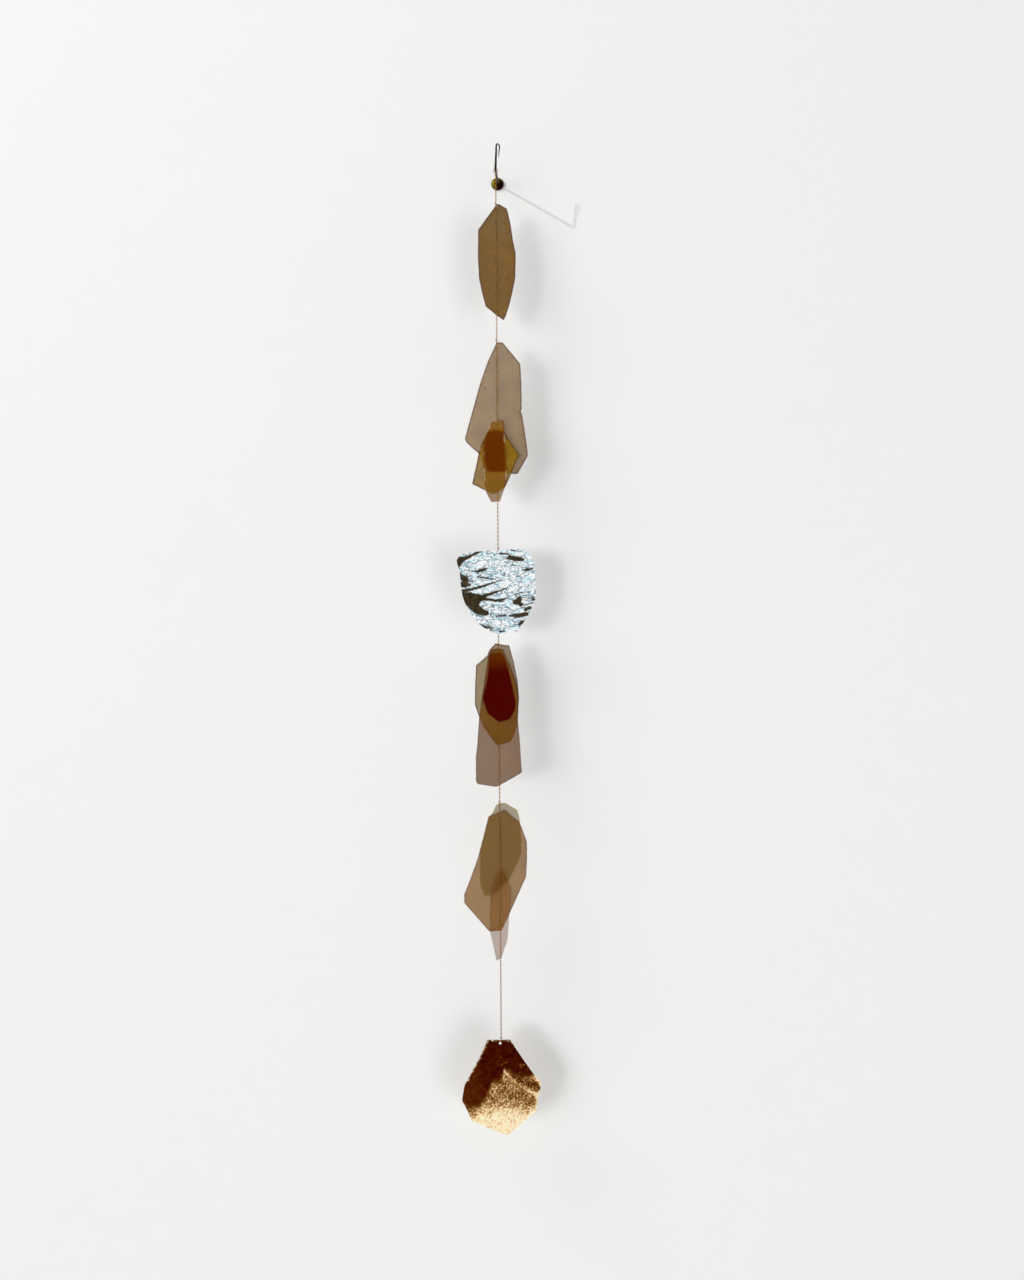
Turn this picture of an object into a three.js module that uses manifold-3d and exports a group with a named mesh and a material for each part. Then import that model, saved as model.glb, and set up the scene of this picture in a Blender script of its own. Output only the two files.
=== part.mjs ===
// A hanging mobile: cut plates of mica, one silver-faced and one copper-bronze, strung along a fine chain that
// hangs from a hook arm on a small wall rose. Millimetres, +Z up. The origin is the centre of the rose's flat back,
// the wall is the plane Y = 0, and everything stands out from it towards -Y.

import * as THREE from "three";
import * as BufferGeometryUtils from "three/addons/utils/BufferGeometryUtils.js";
import Module from "manifold-3d";

// ---- Driving dimensions ----

const GAP = 0.3; // air left between pieces that touch in the real thing

const ROSE_RADIUS = 6.5;
const ROSE_RIM = 1.1; // height of the straight rim
const ROSE_HEIGHT = 3.6; // height of the dome at its middle
const ROSE_FLOOR = 1.2; // metal left under the arm's socket

const ARM_REACH = 70; // from the wall to the line that the chain hangs on
const ARM_PAST_CHAIN = 3; // from the chain's line to the turned-up end
const ARM_DROP = 1.9; // the arm sinks this much from the rose to the chain
const ARM_SWAY = -1.4; // and leans this much to the left
const ARM_FOOT_RADIUS = 1.45;
const ARM_MIDDLE_RADIUS = 1.15;
const ARM_CROOK_RADIUS = 0.8;
const ARM_TIP_RADIUS = 0.22;
const CROOK_TOP = 24; // height of the folded top above the origin
const CROOK_TIP = 10.4; // height of the pointed end
const CROOK_WIDTH = 3; // between the two legs of the fold

const CHAIN_RADIUS = 0.4; // the chain's links, taken together as a plain round rod
const EYE_RADIUS = 1.1; // the chain's first and last link, to the middle of its wire
const EYE_WIRE = 0.4;
const CHAIN_FOOT = -869.3; // height of the last link's middle

const RING_WIRE = 0.25; // radius of the wire of every ring
const RING_SLACK = 0.22; // how much larger than a close fit a jump ring's radius is
const RING_FLATS = 0.05; // how far a ring's flat faces cut inside its true circle
const RING_SIDES = 6;
const RING_STEPS = 16;
const END_RING_RADIUS = 2.4; // the two rings at the chain's ends, to the middle of their wire

const MICA_THICKNESS = 0.5;
const METAL_THICKNESS = 0.8;
const HOLE_RADIUS = 0.9; // for the jump rings
const FOOT_HOLE_RADIUS = 1.9; // the larger hole in the last plate
const HOLE_ASIDE = 1.1; // a hole sits this far to one side of the chain
const CORNER_RADIUS = 0.6; // the cut corners of a mica plate
const ARC_STEPS = 3; // straight pieces to a rounded corner
const ARM_STEPS = 60;
const ARM_SIDES = 8;
const ROSE_SEGMENTS = 32;

// How far a plate hangs from the chain's line. The near ones lie next to the chain, the far ones over them.
const NEAR = 1.8;
const FAR = 4;

const DROP = new THREE.Vector3(ARM_SWAY, -ARM_REACH, 0); // the chain's line, where it passes the origin's height

// ---- Materials ----

function finish(colour, roughness, metalness, opacity = 1) {
  return new THREE.MeshStandardMaterial({
    color: colour,
    roughness,
    metalness,
    opacity,
    transparent: opacity < 1,
  });
}

const brass = finish(0x9a7426, 0.35, 1);
const darkBronze = finish(0x3a2418, 0.45, 1);
const paleMica = finish(0x967f66, 0.15, 0, 0.6);
const amberMica = finish(0x93784c, 0.15, 0, 0.7);
const redMica = finish(0x6a2c12, 0.15, 0, 0.8);
const silverLeaf = finish(0xd4e6ec, 0.3, 1);
const copperLeaf = finish(0xb87a45, 0.3, 1);

// ---- The plates ----

// Each outline runs clockwise from the top left, seen from the front, as [right, up] from the plate's hole.
// hang is the height of the hole, side is which side of the chain it is on, out is how far the plate is from the
// chain's line, towards the front when positive, and turn is its twist about the vertical, in degrees.
const PLATES = [
  {
    name: "1",
    finish: "mica",
    material: amberMica,
    hang: -37.9,
    side: 1,
    out: -NEAR,
    turn: 3,
    outline: [
      [-2.5, -0.5], [-1, 2.5], [2.5, 2.5], [10, -2], [13.5, -16], [16, -34], [18.5, -46], [18.5, -54],
      [18, -71], [15.5, -84], [11.5, -100], [8.5, -109], [6, -114], [-0.5, -109.5], [-12, -100],
      [-15.5, -86.5], [-18.5, -72.5], [-19.5, -49.5], [-19, -23],
    ],
  },
  {
    name: "2a",
    finish: "mica",
    material: paleMica,
    hang: -176.1,
    side: 1,
    out: -FAR,
    turn: -1.5,
    outline: [
      [-2.5, 0], [-1, 2.5], [2, 3], [5, 2.5], [22.5, -19], [23.5, -41], [23.5, -64.5], [22.5, -66.5],
      [24, -70], [26.5, -86], [29.5, -109], [29, -112], [19, -129.5], [6.5, -129], [-10, -128],
      [-15, -121.5], [-20, -108.5], [-26.5, -103], [-32.5, -97], [-34, -93.5], [-26, -65.5],
      [-18, -37.5], [-10, -15.5],
    ],
  },
  {
    name: "2b",
    finish: "mica",
    material: amberMica,
    hang: -271.6,
    side: -1,
    out: -NEAR,
    turn: -1.5,
    outline: [
      [-6.5, -0.5], [-0.5, 2.5], [7.5, 1], [8.5, -15], [9, -32.5], [-6, -32], [-8.5, -22], [-9, -10],
    ],
  },
  {
    name: "2c",
    finish: "mica",
    material: amberMica,
    hang: -261.8,
    side: -1,
    out: NEAR,
    turn: -1,
    outline: [
      [-6.5, 2], [1, 2], [7, 1.5], [11, -7], [16.5, -15], [23, -25.5], [19.5, -33], [15, -44],
      [9, -57], [1.5, -62], [-3.5, -64.5], [-11.5, -60.5], [-24.5, -54], [-18, -24.5], [-16, -17],
      [-12.5, -8],
    ],
  },
  {
    name: "2d",
    finish: "mica",
    material: paleMica,
    hang: -255,
    side: -1,
    out: FAR,
    turn: -1,
    outline: [
      [-3.5, 2.5], [3, 3], [8, 2], [8.5, -12.5], [9, -26.5], [10.5, -48.5], [8.5, -64.5], [3.5, -79],
      [-5.5, -79], [-11.5, -67.5], [-13, -46.5], [-13.5, -26.5], [-12, -12.5], [-8, -5],
    ],
  },
  {
    name: "3",
    finish: "silver",
    material: silverLeaf,
    hang: -383.6,
    side: -1,
    out: NEAR,
    turn: 2,
    corner: 3,
    outline: [
      [-41, -7.5], [-34, -1], [-15, 1], [1, 2], [24, 3], [33.5, -3], [37, -11], [38, -23.5],
      [39, -42.5], [38, -50], [32, -62], [26.5, -70.5], [21, -79.5], [10.5, -80], [-0.5, -82.5],
      [-10.5, -78], [-19.5, -71.5], [-26.5, -62.5], [-33.5, -49], [-36, -38], [-37.5, -20],
    ],
  },
  {
    name: "4a",
    finish: "mica",
    material: paleMica,
    hang: -477.4,
    side: 1,
    out: -NEAR,
    turn: 2,
    outline: [
      [-10.5, -4], [-4.5, 2.5], [1, 1.5], [9.5, 0.5], [14, -16], [18, -36], [19, -53], [17.5, -78],
      [15, -86.5], [10.5, -96], [-3.5, -100], [-16.5, -82], [-21, -72], [-25.5, -58.5],
      [-25, -37.5], [-24, -19.5], [-13, -10],
    ],
  },
  {
    name: "4b",
    finish: "mica",
    material: redMica,
    hang: -486.8,
    side: -1,
    out: NEAR,
    turn: 1,
    outline: [
      [-8.5, -0.5], [-5.5, 2], [0, 2], [4, 2], [7, -2.5], [11.5, -17], [15, -33], [18, -48],
      [17, -55.5], [12, -64], [4, -66.5], [0, -66.5], [-10.5, -58], [-15.5, -43], [-11, -25.5],
      [-9, -9.5],
    ],
  },
  {
    name: "4c",
    finish: "mica",
    material: paleMica,
    hang: -482.8,
    side: -1,
    out: FAR,
    turn: 1.5,
    outline: [
      [-7.5, 1], [-3.5, 2.5], [1.5, 3], [5.5, 2], [9, -6.5], [14, -17.5], [18, -30.5], [20.5, -39.5],
      [20, -69.5], [22, -93.5], [23.5, -121], [22, -122.5], [1.5, -134], [-2, -135.5],
      [-12.5, -134], [-21, -132.5], [-22.5, -129.5], [-22.5, -106], [-21, -93], [-19, -67],
      [-16.5, -49], [-12.5, -23], [-10, -8],
    ],
  },
  {
    name: "5a",
    finish: "mica",
    material: paleMica,
    hang: -638,
    side: 1,
    out: -FAR,
    turn: -2,
    outline: [
      [-4.5, 1.5], [-0.5, 3], [4, 3.5], [16, -3.5], [18.5, -9.5], [19.5, -19], [20.5, -47],
      [17.5, -55], [10.5, -69], [6.5, -76], [-2.5, -83.5], [-10, -89.5], [-17, -90],
      [-21.5, -77.5], [-21, -46.5], [-17, -29.5], [-13, -13.5], [-8, -5.5],
    ],
  },
  {
    name: "5b",
    finish: "mica",
    material: amberMica,
    hang: -645.9,
    side: 1,
    out: -NEAR,
    turn: -1.5,
    outline: [
      [-12.5, -2], [-3, 1.5], [4, 4.5], [18.5, -8], [21.5, -15], [26, -28], [26, -46], [25, -63],
      [9.5, -97], [0, -117], [-12.5, -117.5], [-37.5, -89], [-37.5, -80.5], [-31.5, -65.5],
      [-24, -45.5], [-18, -23.5],
    ],
  },
  {
    name: "5c",
    finish: "mica",
    material: paleMica,
    hang: -704,
    side: 1,
    out: NEAR,
    turn: -2,
    outline: [
      [-3.5, 1], [0, 2.5], [4, 0], [6.5, -7.5], [10, -15.5], [10, -22], [8, -43], [6, -67.5],
      [2.5, -77], [-0.5, -86], [-5.5, -88], [-8.5, -73.5], [-11.5, -59.5], [-11.5, -39.5],
      [-10.5, -20.5], [-8, -10.5],
    ],
  },
];

// The last plate hangs straight below the chain, from its own ring.
const FOOT_PLATE = {
  name: "6",
  finish: "copper",
  material: copperLeaf,
  hang: -874.9,
  side: -0.9,
  out: 0,
  turn: 1,
  hole: FOOT_HOLE_RADIUS,
  outline: [
    [-13, 3.5], [10, 3.5], [17.5, -8], [25.5, -20], [34.5, -32.5], [40.5, -39.5], [40.5, -44],
    [38.5, -51], [35.5, -67.5], [34, -70], [20, -81.5], [7, -92.5], [3, -91], [-8, -87],
    [-29, -77.5], [-35.5, -63], [-38.5, -57.5], [-38, -51.5], [-36, -41.5], [-28.5, -27.5],
    [-21, -14.5],
  ],
};

// ---- Solids ----

const wasm = await Module();
wasm.setup();

function toSolid(geometry) {
  const bare = geometry.clone();
  bare.deleteAttribute("normal");
  bare.deleteAttribute("uv");
  const merged = BufferGeometryUtils.mergeVertices(bare, 1e-4);
  return new wasm.Manifold(
    new wasm.Mesh({
      numProp: 3,
      vertProperties: merged.attributes.position.array,
      triVerts: new Uint32Array(merged.index.array),
    }),
  );
}

function toGeometry(solid) {
  const mesh = solid.getMesh();
  const geometry = new THREE.BufferGeometry();
  geometry.setAttribute("position", new THREE.BufferAttribute(mesh.vertProperties, 3));
  geometry.setIndex(new THREE.BufferAttribute(mesh.triVerts, 1));
  geometry.computeVertexNormals();
  return geometry;
}

function joined(geometries) {
  const [first, ...others] = geometries.map(toSolid);
  return toGeometry(others.reduce((whole, solid) => whole.add(solid), first));
}

// A closed outline as a shape, with every corner cut to a small curve.
function roundedShape(points, radius) {
  const corners = points.map(([x, y]) => new THREE.Vector2(x, y));
  const rounded = [];
  corners.forEach((corner, i) => {
    const before = corners.at(i - 1);
    const after = corners[(i + 1) % corners.length];
    const reachIn = Math.min(radius, corner.distanceTo(before) / 3);
    const reachOut = Math.min(radius, corner.distanceTo(after) / 3);
    const start = corner.clone().add(before.clone().sub(corner).setLength(reachIn));
    const end = corner.clone().add(after.clone().sub(corner).setLength(reachOut));
    rounded.push(...new THREE.QuadraticBezierCurve(start, corner, end).getPoints(ARC_STEPS));
  });
  return new THREE.Shape(rounded);
}

// A flat plate in the XZ plane, its hole at its own origin and its middle plane at Y = 0.
function plateGeometry(plate, thickness) {
  const shape = roundedShape(plate.outline, plate.corner ?? CORNER_RADIUS);
  const hole = new THREE.Path();
  hole.absarc(0, 0, plate.hole ?? HOLE_RADIUS, 0, 2 * Math.PI, false);
  shape.holes.push(hole);
  const geometry = new THREE.ExtrudeGeometry(shape, {
    depth: thickness,
    bevelEnabled: false,
    curveSegments: 8,
  });
  geometry.translate(0, 0, -thickness / 2);
  geometry.rotateX(Math.PI / 2);
  return geometry;
}

// A round bar along a curve, whose radius follows radiusAt(0 to 1), closed at both ends by a flat fan.
function taperedBar(curve, radiusAt, steps, sides) {
  const frames = curve.computeFrenetFrames(steps, false);
  const positions = [];
  const faces = [];
  for (let i = 0; i <= steps; i++) {
    const centre = curve.getPointAt(i / steps);
    for (let j = 0; j < sides; j++) {
      const angle = (2 * Math.PI * j) / sides;
      const point = centre
        .clone()
        .addScaledVector(frames.normals[i], radiusAt(i / steps) * Math.cos(angle))
        .addScaledVector(frames.binormals[i], radiusAt(i / steps) * Math.sin(angle));
      positions.push(...point.toArray());
    }
  }
  for (let i = 0; i < steps; i++) {
    for (let j = 0; j < sides; j++) {
      const next = (j + 1) % sides;
      const a = i * sides + j;
      const b = i * sides + next;
      const c = a + sides;
      const d = b + sides;
      faces.push(a, b, c, b, d, c);
    }
  }
  const foot = positions.length / 3;
  positions.push(...curve.getPointAt(0).toArray(), ...curve.getPointAt(1).toArray());
  for (let j = 0; j < sides; j++) {
    const next = (j + 1) % sides;
    const last = steps * sides;
    faces.push(foot, next, j, foot + 1, last + j, last + next);
  }
  const geometry = new THREE.BufferGeometry();
  geometry.setAttribute("position", new THREE.Float32BufferAttribute(positions, 3));
  geometry.setIndex(faces);
  geometry.computeVertexNormals();
  return geometry;
}

// ---- Sub-parts ----

function mesh(name, geometry, material) {
  const made = new THREE.Mesh(geometry, material);
  made.name = name;
  return made;
}

// A low dome with a blind socket for the arm, turned so that its flat back lies on the wall.
function wallRose() {
  const socket = ARM_FOOT_RADIUS + GAP;
  const profile = [new THREE.Vector2(0, 0), new THREE.Vector2(ROSE_RADIUS, 0)];
  const domeSteps = 6;
  for (let i = 0; i <= domeSteps; i++) {
    const along = i / domeSteps;
    const radius = ROSE_RADIUS + (socket - ROSE_RADIUS) * along;
    const rise = (ROSE_HEIGHT - ROSE_RIM) * Math.sin((along * Math.PI) / 2);
    profile.push(new THREE.Vector2(radius, ROSE_RIM + rise));
  }
  profile.push(new THREE.Vector2(socket, ROSE_FLOOR), new THREE.Vector2(0, ROSE_FLOOR));
  const geometry = new THREE.LatheGeometry(profile, ROSE_SEGMENTS);
  geometry.rotateX(Math.PI);
  return mesh("wall_rose", geometry, brass);
}

// The arm runs out from the rose, turns up, folds over and ends in a point in front of itself.
function hookArm() {
  const upturn = -(ARM_REACH + ARM_PAST_CHAIN);
  const arm = new THREE.CatmullRomCurve3(
    [
      new THREE.Vector3(0, -(ROSE_FLOOR + GAP), 0),
      new THREE.Vector3(0.3 * ARM_SWAY, -0.35 * ARM_REACH, -0.3 * ARM_DROP),
      new THREE.Vector3(0.7 * ARM_SWAY, -0.7 * ARM_REACH, -0.7 * ARM_DROP),
      new THREE.Vector3(ARM_SWAY, 2 - ARM_REACH, -ARM_DROP),
      new THREE.Vector3(ARM_SWAY, upturn + 1.8, -ARM_DROP),
      new THREE.Vector3(ARM_SWAY, upturn, -ARM_DROP + 1.8),
      new THREE.Vector3(ARM_SWAY + 0.3, upturn - 0.3, 0.35 * CROOK_TOP),
      new THREE.Vector3(ARM_SWAY + 0.7, upturn - 0.6, 0.7 * CROOK_TOP),
      new THREE.Vector3(ARM_SWAY + 0.9, upturn - 0.8, CROOK_TOP - 1.6),
      new THREE.Vector3(ARM_SWAY + 0.9 + 0.45 * CROOK_WIDTH, upturn - 0.8, CROOK_TOP),
      new THREE.Vector3(ARM_SWAY + 0.9 + CROOK_WIDTH, upturn - 0.8, CROOK_TOP - 1.8),
      new THREE.Vector3(ARM_SWAY + 0.6 + CROOK_WIDTH, upturn - 0.9, 0.66 * CROOK_TOP),
      new THREE.Vector3(ARM_SWAY + CROOK_WIDTH, upturn - 1.1, CROOK_TIP),
    ],
    false,
    "centripetal",
  );
  // The taper is stated at four places along the length, and runs straight between them.
  const places = [0, 0.62, 0.86, 1];
  const radii = [ARM_FOOT_RADIUS, ARM_MIDDLE_RADIUS, ARM_CROOK_RADIUS, ARM_TIP_RADIUS];
  const radiusAt = (along) => {
    const i = Math.max(1, places.findIndex((place) => along <= place));
    const share = (along - places[i - 1]) / (places[i] - places[i - 1]);
    return THREE.MathUtils.lerp(radii[i - 1], radii[i], share);
  };
  return mesh("hook_arm", taperedBar(arm, radiusAt, ARM_STEPS, ARM_SIDES), darkBronze);
}

function ringGeometry(radius) {
  return new THREE.TorusGeometry(radius, RING_WIRE, RING_SIDES, RING_STEPS);
}

// The height at which the top ring hangs from the underside of its bearing on the arm.
const TOP_RING_HEIGHT = -ARM_DROP - (END_RING_RADIUS - RING_WIRE - GAP - ARM_MIDDLE_RADIUS);
const CHAIN_HEAD = TOP_RING_HEIGHT - END_RING_RADIUS;

function topRing() {
  const geometry = ringGeometry(END_RING_RADIUS);
  geometry.rotateX(Math.PI / 2);
  const ring = mesh("ring_top", geometry, brass);
  ring.position.set(DROP.x, DROP.y, TOP_RING_HEIGHT);
  return ring;
}

// The chain as one plain rod, with its first and last links as eyes. The first faces sideways, the last forwards.
function chain() {
  const head = new THREE.TorusGeometry(EYE_RADIUS, EYE_WIRE, RING_SIDES, RING_STEPS);
  head.rotateY(Math.PI / 2);
  head.translate(0, 0, CHAIN_HEAD);
  const foot = new THREE.TorusGeometry(EYE_RADIUS, EYE_WIRE, RING_SIDES, RING_STEPS);
  foot.rotateX(Math.PI / 2);
  foot.translate(0, 0, CHAIN_FOOT);
  const top = CHAIN_HEAD - EYE_RADIUS;
  const bottom = CHAIN_FOOT + EYE_RADIUS;
  const rod = new THREE.CylinderGeometry(CHAIN_RADIUS, CHAIN_RADIUS, top - bottom, 10);
  rod.rotateX(Math.PI / 2);
  rod.translate(0, 0, (top + bottom) / 2);
  const links = mesh("chain", joined([head, rod, foot]), brass);
  links.position.copy(DROP);
  return links;
}

// A jump ring goes round the chain, through the plate's hole and back over the plate's top edge. It lies in a plane
// that runs front to back and leans over to the side that the hole is on.
function jumpRing(plate) {
  const away = Math.abs(plate.out);
  const behindChain = CHAIN_RADIUS + GAP + RING_WIRE + RING_FLATS;
  const pastPlate = away + MICA_THICKNESS / 2 + GAP + RING_WIRE;
  const radius = (behindChain + pastPlate) / 2 + RING_SLACK;
  const centreOut = radius - behindChain;
  const halfChord = Math.sqrt(radius ** 2 - (away - centreOut) ** 2);
  const lean = Math.asin(HOLE_ASIDE / halfChord);
  const geometry = ringGeometry(radius);
  geometry.rotateY(Math.PI / 2);
  geometry.rotateY(-plate.side * lean);
  const ring = mesh(`ring_${plate.name}`, geometry, brass);
  ring.position.set(
    DROP.x,
    DROP.y - Math.sign(plate.out) * centreOut,
    plate.hang + halfChord * Math.cos(lean),
  );
  return ring;
}

function hungPlate(plate) {
  const thickness = plate.finish === "mica" ? MICA_THICKNESS : METAL_THICKNESS;
  const name = `plate_${plate.name}_${plate.finish}`;
  const made = mesh(name, plateGeometry(plate, thickness), plate.material);
  made.position.set(DROP.x + plate.side * HOLE_ASIDE, DROP.y - plate.out, plate.hang);
  made.rotation.z = THREE.MathUtils.degToRad(plate.turn);
  return made;
}

// The last ring stands in the YZ plane, through the chain's last link and the large hole of the last plate.
function footRing() {
  const geometry = ringGeometry(END_RING_RADIUS);
  geometry.rotateY(Math.PI / 2);
  const ring = mesh(`ring_${FOOT_PLATE.name}`, geometry, brass);
  ring.position.set(DROP.x, DROP.y, CHAIN_FOOT - END_RING_RADIUS);
  return ring;
}

// ---- The whole mobile ----

const mobile = new THREE.Group();
mobile.add(wallRose(), hookArm(), topRing(), chain());
for (const plate of PLATES) {
  mobile.add(hungPlate(plate), jumpRing(plate));
}
mobile.add(hungPlate(FOOT_PLATE), footRing());

export default mobile;
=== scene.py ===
"""A hanging mobile: cut plates of mica, one plate in silver leaf and one in copper leaf, strung on a fine
brass chain that hangs from a hook arm on a small wall rose. Metres, +Z up, the wall is the plane Y = 0."""

import math

import bmesh
import bpy
import numpy as np
from mathutils import Matrix, Vector, noise
from mathutils.geometry import delaunay_2d_cdt


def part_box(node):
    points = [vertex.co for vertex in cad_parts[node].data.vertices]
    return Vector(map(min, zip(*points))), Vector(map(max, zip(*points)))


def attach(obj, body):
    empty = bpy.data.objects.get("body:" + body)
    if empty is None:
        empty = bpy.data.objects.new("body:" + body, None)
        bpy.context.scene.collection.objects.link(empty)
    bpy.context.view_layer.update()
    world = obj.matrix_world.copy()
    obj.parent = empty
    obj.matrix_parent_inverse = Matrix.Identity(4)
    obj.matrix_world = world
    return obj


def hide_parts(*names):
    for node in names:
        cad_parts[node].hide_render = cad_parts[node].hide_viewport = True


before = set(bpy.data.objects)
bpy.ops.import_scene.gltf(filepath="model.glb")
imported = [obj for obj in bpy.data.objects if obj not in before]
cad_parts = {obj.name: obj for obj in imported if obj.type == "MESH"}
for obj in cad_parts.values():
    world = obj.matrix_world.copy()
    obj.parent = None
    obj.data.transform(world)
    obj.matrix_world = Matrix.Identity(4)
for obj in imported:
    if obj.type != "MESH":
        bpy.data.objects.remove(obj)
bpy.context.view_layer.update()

MM = 0.001
UP = Vector((0, 0, 1))

# ---- Camera ----

CAMERA_PLACE = Vector((0.01197, -2.07, -0.47175))
CAMERA_ROLL = 0.00643
CAMERA_LENS = 56.25

scene = bpy.context.scene
scene.view_settings.view_transform = "Standard"
scene.cycles.transparent_max_bounces = 40  # up to four sheets lie behind one another
scene.cycles.max_bounces = 16


def add(name, data):
    made = bpy.data.objects.new(name, data)
    scene.collection.objects.link(made)
    return made


def set_camera():
    lens = bpy.data.cameras.new("camera")
    lens.lens = CAMERA_LENS
    lens.sensor_width = 36
    camera = add("camera", lens)
    right = Vector((1, 0, -CAMERA_ROLL)).normalized()
    top = Vector((CAMERA_ROLL, 0, 1)).normalized()
    facing = Matrix((right, top, Vector((0, -1, 0)))).transposed().to_4x4()
    camera.matrix_world = Matrix.Translation(CAMERA_PLACE) @ facing
    scene.camera = camera


# ---- Node trees ----


class Value:
    """A number that changes over a surface. Sums on it add the Math nodes that work it out."""

    def __init__(self, nodes, socket):
        self.nodes = nodes
        self.socket = socket

    def _sum(self, operation, first, second=0.0):
        return self.nodes.node("Math", {"operation": operation}, {0: first, 1: second})

    def __add__(self, other):
        return self._sum("ADD", self, other)

    def __radd__(self, other):
        return self._sum("ADD", other, self)

    def __sub__(self, other):
        return self._sum("SUBTRACT", self, other)

    def __rsub__(self, other):
        return self._sum("SUBTRACT", other, self)

    def __mul__(self, other):
        return self._sum("MULTIPLY", self, other)

    def __rmul__(self, other):
        return self._sum("MULTIPLY", other, self)

    def __mod__(self, other):
        return self._sum("MODULO", self, other)

    def __abs__(self):
        return self._sum("ABSOLUTE", self)


class Nodes:
    """A node tree that starts empty. node() adds any node and returns one of its outputs."""

    def __init__(self, tree):
        self.tree = tree
        tree.nodes.clear()

    def node(self, kind, settings=None, sockets=None, out=0):
        made = self.tree.nodes.new(kind if "Node" in kind else "ShaderNode" + kind)
        for name, value in (settings or {}).items():
            if name == "stops":
                self._stops(made.color_ramp, value)
            else:
                setattr(made, name, value)
        for name, value in (sockets or {}).items():
            self._plug(made.inputs[name], value)
        return Value(self, made.outputs[out]) if made.outputs else None

    def _stops(self, ramp, stops):
        while len(ramp.elements) < len(stops):
            ramp.elements.new(1)
        for element, (place, colour) in zip(ramp.elements, stops):
            element.position = place
            element.color = (*colour, 1)

    def _plug(self, socket, value):
        if isinstance(value, Value):
            self.tree.links.new(value.socket, socket)
        elif socket.type == "RGBA" and len(value) == 3:
            socket.default_value = (*value, 1)
        else:
            socket.default_value = value

    def ramp(self, value, low, high, into=(0.0, 1.0)):
        """Eases from into[0] where value is low to into[1] where it is high."""
        return self.node(
            "MapRange",
            {"interpolation_type": "SMOOTHSTEP"},
            {0: value, 1: low, 2: high, 3: into[0], 4: into[1]},
        )

    def axis(self, vector, number):
        """One of a vector's three numbers: 0 across, 1 into the wall, 2 up."""
        return self.node("SeparateXYZ", {}, {0: vector}, out=number)


class Paint(Nodes):
    """A material on one Principled shader."""

    def __init__(self, name, **plain):
        self.material = bpy.data.materials.new(name)
        self.material.use_nodes = True
        super().__init__(self.material.node_tree)
        self.shader = self.tree.nodes.new("ShaderNodeBsdfPrincipled")
        self.node("OutputMaterial", {}, {"Surface": Value(self, self.shader.outputs[0])})
        self.feed(**plain)

    def feed(self, **sockets):
        for socket, value in sockets.items():
            self._plug(self.shader.inputs[socket.replace("_", " ")], value)
        return self.material

    # The few things that every finish here is made of.

    def place(self):
        return self.node("TexCoord", out="Object")

    def mark(self, name):
        """A number that the mesh carries at each of its points."""
        return self.node("Attribute", {"attribute_name": name}, out="Fac")

    def grain(self, size, detail=4.0, squeeze=(1, 1, 1), turn=(0, 0, 0), twist=0.0, seat=(0, 0, 0)):
        """Soft noise from 0 to 1 whose lumps are about size metres across."""
        laid = self.node(
            "Mapping",
            {"vector_type": "POINT"},
            {"Vector": self.place(), "Rotation": turn, "Scale": squeeze, "Location": seat},
        )
        return self.node(
            "TexNoise",
            {},
            {"Vector": laid, "Scale": 1 / size, "Detail": detail, "Distortion": twist},
        )

    def blend(self, share, first, second):
        """Colour: first where share is 0, second where it is 1."""
        return self.node(
            "Mix",
            {"data_type": "RGBA", "blend_type": "MIX", "clamp_factor": True},
            {0: share, 6: first, 7: second},
            out=2,
        )

    def along(self, way):
        """How far each spot lies along a way, in metres."""
        return self.node("VectorMath", {"operation": "DOT_PRODUCT"}, {0: self.place(), 1: way}, out=1)

    def dent(self, height, depth, strength):
        return self.node("Bump", {}, {"Height": height, "Distance": depth, "Strength": strength})


# ---- Wall, floor, lights and room ----

STAGE_HALF = 4.0  # the wall's and the floor's reach to either side
STAGE_TOP = 2.4
FLOOR_HEIGHT = -1.6
FLOOR_FRONT = -5.0
WALL_GAP = 0.0004  # the wall stands this far behind the rose's flat back


def wall_paint():
    """Matt plaster, which the camera sees through from behind."""
    material = bpy.data.materials.new("wall plaster")
    material.use_nodes = True
    nodes = Nodes(material.node_tree)
    plaster = nodes.node("BsdfDiffuse", {}, {"Color": (0.86, 0.86, 0.855)})
    clear = nodes.node("BsdfTransparent")
    seen_behind = nodes.node("NewGeometry", out="Backfacing") * nodes.node("LightPath", out="Is Camera Ray")
    mixed = nodes.node("MixShader", {}, {0: seen_behind, 1: plaster, 2: clear})
    nodes.node("OutputMaterial", {}, {0: mixed})
    return material


def set_stage():
    """A pale wall behind the object and a pale floor well below it. Returns the floor."""
    floor_paint = Paint("floor", Base_Color=(0.62, 0.62, 0.61), Roughness=0.7)
    left, right = -STAGE_HALF, STAGE_HALF
    low, high = FLOOR_HEIGHT, STAGE_TOP
    back, front = WALL_GAP, FLOOR_FRONT
    wall = plane("wall", [(left, back, low), (right, back, low), (right, back, high), (left, back, high)])
    wall.data.materials.append(wall_paint())
    floor = plane("floor", [(left, front, low), (right, front, low), (right, back, low), (left, back, low)])
    floor.data.materials.append(floor_paint.material)
    return floor


def plane(name, corners):
    mesh = bpy.data.meshes.new(name)
    mesh.from_pydata(corners, [], [range(len(corners))])
    return add(name, mesh)


def sun(name, towards, strength, spread):
    """Light from far away. spread is in degrees, and softens its shadows."""
    light = bpy.data.lights.new(name, "SUN")
    light.energy = strength
    light.angle = math.radians(spread)
    made = add(name, light)
    made.rotation_mode = "QUATERNION"
    made.rotation_quaternion = Vector(towards).to_track_quat("-Z", "Y")
    return made


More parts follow.
